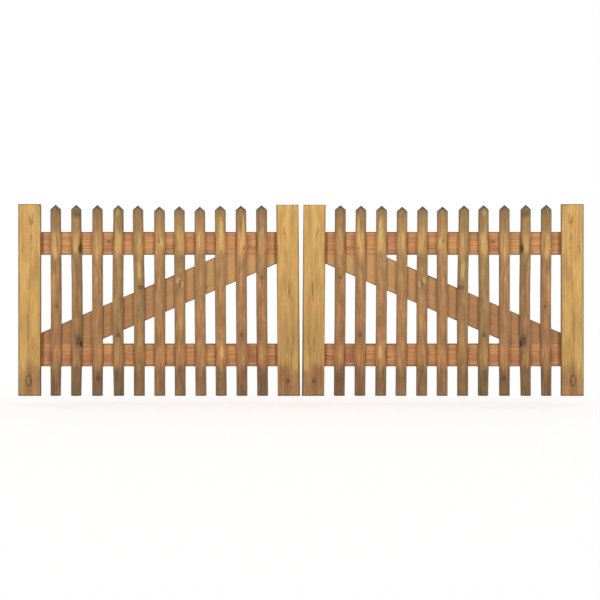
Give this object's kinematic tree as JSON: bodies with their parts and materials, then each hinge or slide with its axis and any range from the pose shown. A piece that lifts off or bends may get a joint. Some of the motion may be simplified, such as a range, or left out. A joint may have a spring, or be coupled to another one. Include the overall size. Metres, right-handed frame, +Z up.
{
  "type": "double picket gate",
  "caption": "Double wooden picket gate: two braced leaves of half-round pointed pickets between flat stiles, hung on strap hinges and pintle plates.",
  "frame": {"origin": "middle of the left lower pintle plate, on the flat face that bolts to the gate post", "axes": "+X along the closed gate towards the right seen from the front, +Y into the property, +Z up"},
  "size_m": [2.948, 0.0893, 1],
  "materials": {
    "stile_wood": "planed pressure-treated pine, golden",
    "rail_wood": "planed pressure-treated pine, reddish",
    "brace_wood": "planed pressure-treated pine, brown",
    "picket_wood": "half-round milled pressure-treated pine",
    "hinge_steel": "hot-dip galvanised"
  },
  "bodies": {
    "pintles": {"left_lower_pintle": "hinge_steel", "left_upper_pintle": "hinge_steel", "right_lower_pintle": "hinge_steel", "right_upper_pintle": "hinge_steel"},
    "left_leaf": {"left_hanging_stile": "stile_wood", "left_meeting_stile": "stile_wood", "left_top_rail": "rail_wood", "left_bottom_rail": "rail_wood", "left_brace": "brace_wood", "left_picket_01": "picket_wood", "left_picket_02": "picket_wood", "left_picket_03": "picket_wood", "left_picket_04": "picket_wood", "left_picket_05": "picket_wood", "left_picket_06": "picket_wood", "left_picket_07": "picket_wood", "left_picket_08": "picket_wood", "left_picket_09": "picket_wood", "left_picket_10": "picket_wood", "left_picket_11": "picket_wood", "left_lower_strap": "hinge_steel", "left_upper_strap": "hinge_steel"},
    "right_leaf": {"right_hanging_stile": "stile_wood", "right_meeting_stile": "stile_wood", "right_top_rail": "rail_wood", "right_bottom_rail": "rail_wood", "right_brace": "brace_wood", "right_picket_01": "picket_wood", "right_picket_02": "picket_wood", "right_picket_03": "picket_wood", "right_picket_04": "picket_wood", "right_picket_05": "picket_wood", "right_picket_06": "picket_wood", "right_picket_07": "picket_wood", "right_picket_08": "picket_wood", "right_picket_09": "picket_wood", "right_picket_10": "picket_wood", "right_picket_11": "picket_wood", "right_lower_strap": "hinge_steel", "right_upper_strap": "hinge_steel"}
  },
  "joints": [
    {"name": "left_leaf_swing", "type": "hinge", "parent": "pintles", "child": "left_leaf", "pos_m": [0.02405, 0, 0], "axis": [0, 0, 1], "range_deg": [0, 110]},
    {"name": "right_leaf_swing", "type": "hinge", "parent": "pintles", "child": "right_leaf", "pos_m": [2.83395, 0, 0], "axis": [0, 0, -1], "range_deg": [0, 110]}
  ]
}
